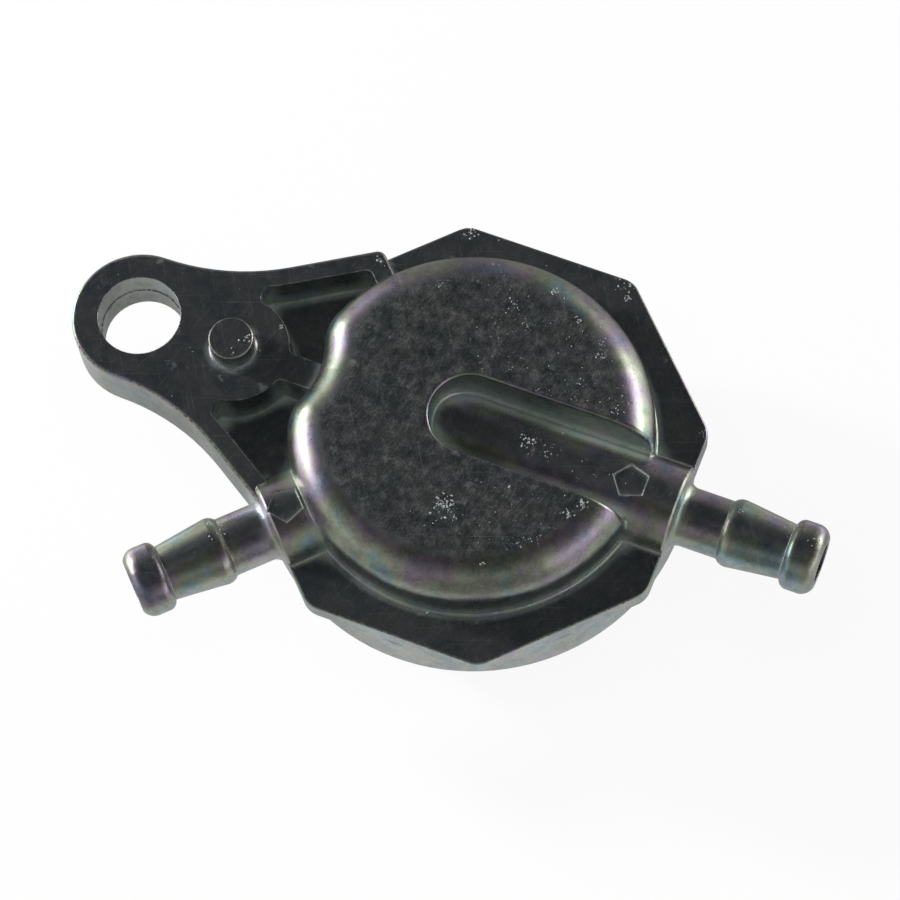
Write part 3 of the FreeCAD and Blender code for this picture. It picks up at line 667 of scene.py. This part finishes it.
def clamped_rim(name, z, node):
    """Flat ring with its screw holes. Its outer edge bulges between the castings."""
    top = z + sheet_t
    corner_h = 0.03
    corner_w = 0.10
    swell = 0.06
    bulge = 0.12
    bulge_start = 0.05
    bulge_half_h = half_sheet - 0.01
    bulge_steps = 6
    flat_end = rim_outer_r - 0.08
    outline = [(roll_outer_r, z + corner_h), (roll_outer_r - swell, z + half_sheet),
               (roll_outer_r, top - corner_h), (roll_outer_r + corner_w, top), (flat_end, top)]
    for i in range(bulge_steps + 1):
        a = math.pi / 2 - math.pi * i / bulge_steps
        outline.append((rim_outer_r - bulge_start + bulge * math.cos(a),
                        z + half_sheet + bulge_half_h * math.sin(a)))
    outline += [(flat_end, z), (roll_outer_r + corner_w, z)]
    rim = add_piece(name, spun(outline, 192), diaphragm_rubber, None)
    drills = bmesh.new()
    for degrees in screw_angles:
        a = math.radians(degrees)
        middle = Vector((screw_circle_r * math.cos(a), screw_circle_r * math.sin(a), z + half_sheet)) * MM
        bmesh.ops.create_cone(drills, cap_ends=True, segments=40, depth=3 * MM, radius1=screw_pass_r * MM,
                              radius2=screw_pass_r * MM, matrix=Matrix.Translation(middle))
    drill_mesh = bpy.data.meshes.new("drills")
    drills.to_mesh(drill_mesh)
    drills.free()
    drill = bpy.data.objects.new("drills", drill_mesh)
    scene.collection.objects.link(drill)
    cut = rim.modifiers.new("holes", "BOOLEAN")
    cut.operation = "DIFFERENCE"
    cut.solver = "EXACT"
    cut.object = drill
    bpy.context.view_layer.update()
    finished = bpy.data.meshes.new_from_object(rim.evaluated_get(bpy.context.evaluated_depsgraph_get()))
    rim.modifiers.clear()
    rim.data = finished
    bpy.data.objects.remove(drill)
    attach(rim, "casing")
    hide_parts(node)


def moving_centre(name, z, node):
    """Flat middle of the sheet, with rounded edges and a shallow moulded groove just inside its rim."""
    low = z + rise
    high = low + sheet_t
    hole_w = 0.05
    hole_h = 0.03
    edge_w = 0.12
    edge_h = 0.15
    groove_out = roll_inner_r - 0.5
    groove_depth = 0.06
    slope = 0.1
    outline = [(stem_hole_r, low + hole_h), (stem_hole_r + hole_w, low), (roll_inner_r - edge_w, low),
               (roll_inner_r, low + edge_h), (roll_inner_r, high - edge_h), (roll_inner_r - edge_w, high),
               (groove_out, high), (groove_out - slope, high - groove_depth),
               (groove_out - 2 * slope, high - groove_depth), (groove_out - 3 * slope, high),
               (stem_hole_r + hole_w, high), (stem_hole_r, high - hole_h)]
    centre = add_piece(name, spun(outline, 144), diaphragm_rubber, "valve")
    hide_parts(node)


def folding_roll(name, z, node):
    """Thin rolled web, tucked into the rim and the centre."""
    middle_low = z + half_sheet
    samples = 22
    level_share = 0.06
    fold = 0.30
    upper, lower = [], []
    for i in range(samples + 1):
        t = i / samples
        r = roll_outer_r + tuck - t * (roll_outer_r - roll_inner_r + 2 * tuck)
        share = min(1.0, max(0.0, (t - level_share) / (1 - 2 * level_share)))
        eased = share * share * (3 - 2 * share)
        height = middle_low + rise * eased + fold * math.sin(math.pi * share) ** 2 * (0.5 - share)
        upper.append((r, height + roll_t / 2))
        lower.append((r, height - roll_t / 2))
    web = add_piece(name, spun(upper + lower[::-1], 144), diaphragm_rubber)
    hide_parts(node)
    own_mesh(web)


fuel_rim_z = 9.1
clamped_rim("fuel_diaphragm_rim", fuel_rim_z, "fuel_diaphragm")
moving_centre("fuel_diaphragm_centre", fuel_rim_z, "fuel_diaphragm")
folding_roll("fuel_diaphragm_roll", fuel_rim_z, "fuel_diaphragm")


# Distance sleeve: turned from acetal rod. It slides over the stem and keeps the centres of the two diaphragms
# apart.
acetal_colours = ((0.60, 0.57, 0.48), (0.72, 0.69, 0.61), (0.80, 0.78, 0.71))
acetal = turned_metal("turned_acetal", acetal_colours, 6.0, 0.2, 0.0, 0.38)
dress("distance_sleeve", acetal)


# Spacer ring: turned aluminium, clamped between the rims of the two diaphragms. Its small vent hole shows
# when one of them leaks.
aluminium_colours = ((0.36, 0.37, 0.38), (0.52, 0.53, 0.54), (0.66, 0.67, 0.67))
aluminium = turned_metal("turned_aluminium", aluminium_colours, 8.0, 0.16, 0.97, 0.27)
dress("spacer_ring", aluminium)


# Vacuum diaphragm: the same rubber moulding as the fuel diaphragm, clamped between the spacer and the cover.
# It works the stem when the engine draws air through the nipple.
vacuum_rim_z = 6.4
clamped_rim("vacuum_diaphragm_rim", vacuum_rim_z, "vacuum_diaphragm")
moving_centre("vacuum_diaphragm_centre", vacuum_rim_z, "vacuum_diaphragm")
folding_roll("vacuum_diaphragm_roll", vacuum_rim_z, "vacuum_diaphragm")


# Pressure plate and clip: pressed from zinc-plated steel sheet. The plate spreads the spring's push, and the
# clip locks the stack on the stem.
def plated_steel(name, seed, colour, thread_low=0.0, thread_pitch=0.0):
    """Bright zinc plate with a faint yellow film, rubbed and spotted. With a thread_pitch, it has a screw
    thread above thread_low."""
    material, shader, start = new_finish(name)
    true_place = in_mm(start)
    place = true_place.vector("ADD", (seed, seed, seed))
    normal = start.node("ShaderNodeNewGeometry", {}, {}, "Normal")
    soft_edge = start.node("ShaderNodeBevel", {"samples": 4}, {"Radius": 0.10 * MM})
    edge = (1 - soft_edge.vector("DOT_PRODUCT", normal, "Value")).step(0.01, 0.15)
    spots = cloud(place, 0.9, 5.0, 0.62)
    grain = cloud(place, 5.0, 3.0, 0.6)
    dark = tuple(part * 0.62 for part in colour)
    light = tuple(min(1, part * 1.25) for part in colour)
    base = start.node("ShaderNodeValToRGB", {"stops": [(0.30, dark), (0.50, colour), (0.70, light)]},
                      {"Fac": spots * 0.7 + grain * 0.3})
    film = start.node("ShaderNodeValToRGB", {"stops": [
        (0.38, (0.86, 0.90, 1.0)), (0.50, (1.0, 0.96, 0.78)), (0.62, (1.0, 0.86, 0.80))]},
        {"Fac": cloud(place, 0.35, 2.0)})
    base = base.tint(0.6, film, "MULTIPLY")
    base = base.tint(edge * grain.step(0.42, 0.6) * 0.6, rgb(0.72, 0.71, 0.68))
    rubbed = streaks(place, 20, 2.5, 0.10).step(0.64, 0.72) + streaks(place, 80, 2.0, 0.10).step(0.66, 0.74)
    base = base.tint(rubbed * 0.4, rgb(0.68, 0.68, 0.66))
    height = spots * 0.4 + grain * 0.3
    if thread_pitch:
        up_shank = true_place.axis(2)
        thread = (up_shank * (math.tau / thread_pitch)).math("SINE")
        height = height + thread * up_shank.step(thread_low, thread_low + 0.3) * 6.0
    bump = start.node("ShaderNodeBump", {}, {
        "Height": height, "Strength": 0.5, "Distance": 0.02 * MM, "Normal": soft_edge})
    feed(shader, Base_Color=base, Metallic=0.96, Roughness=0.26 + spots * 0.18, Normal=bump)
    return material


plate_steel = plated_steel("plate_zinc_plated", 12.0, (0.52, 0.51, 0.47))
dress("pressure_plate", plate_steel)
dress("stem_clip", plate_steel)


# Return spring: three and a half turns of drawn spring wire between the cover's floor and the pressure plate.
# Its end turns lie flat.
coil_r = 4.9
wire_r = 0.35
turns = 3.5
cover_floor_z = 1.4
plate_z = 7.5
spring_low = cover_floor_z + wire_r
spring_high = plate_z - wire_r
end_turn = 0.5
ease = 0.12
sides = 14
per_turn = 56
coil = bmesh.new()
rings = []
for i in range(int(turns * per_turn) + 1):
    turn_now = i / per_turn
    share = min(1.0, max(0.0, (turn_now - end_turn) / (turns - 2 * end_turn)))
    if share < ease:
        climb = share * share / (2 * ease)
    elif share > 1 - ease:
        climb = (1 - ease) - (1 - share) ** 2 / (2 * ease)
    else:
        climb = share - ease / 2
    z = spring_low + (spring_high - spring_low) * climb / (1 - ease)
    a = math.tau * turn_now
    outward = Vector((math.cos(a), math.sin(a), 0))
    ring = []
    for k in range(sides):
        b = math.tau * k / sides
        point = outward * (coil_r + wire_r * math.cos(b)) + up * (z + wire_r * math.sin(b))
        ring.append(coil.verts.new(point * MM))
    rings.append(ring)
for ring, after in zip(rings, rings[1:]):
    for k in range(sides):
        face = coil.faces.new((ring[k], ring[(k + 1) % sides], after[(k + 1) % sides], after[k]))
        face.smooth = True
coil.faces.new(rings[0])
coil.faces.new(rings[-1])
spring_wire = plated_steel("drawn_spring_wire", 14.0, (0.40, 0.40, 0.40))
spring = add_piece("return_spring_wire", coil, spring_wire, None)
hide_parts("return_spring")
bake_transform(spring)


# Cover: zinc die casting with the vacuum nipple in one piece, passivated like the body and held on from below
# by the four screws. It has no drum, so no_drum_z lies far above it.
no_drum_z = 100.0
dress("cover", cast_zinc("cover_zinc", 17.0, no_drum_z, 0.7))


# Cover screws: four screws of zinc-plated steel. They pass through the whole stack and cut their thread in
# the body.
thread_start_z = 4.7
screw_steel = plated_steel("screw_zinc_plated", 21.0, (0.50, 0.49, 0.46), thread_start_z, 0.7)
dress("cover_screws", screw_steel)


# Spring washers: split rings of darker plated steel under the screw heads. They keep the screws from working
# loose.
washer_steel = plated_steel("washer_steel", 23.0, (0.36, 0.36, 0.35))
dress("spring_washers", washer_steel)
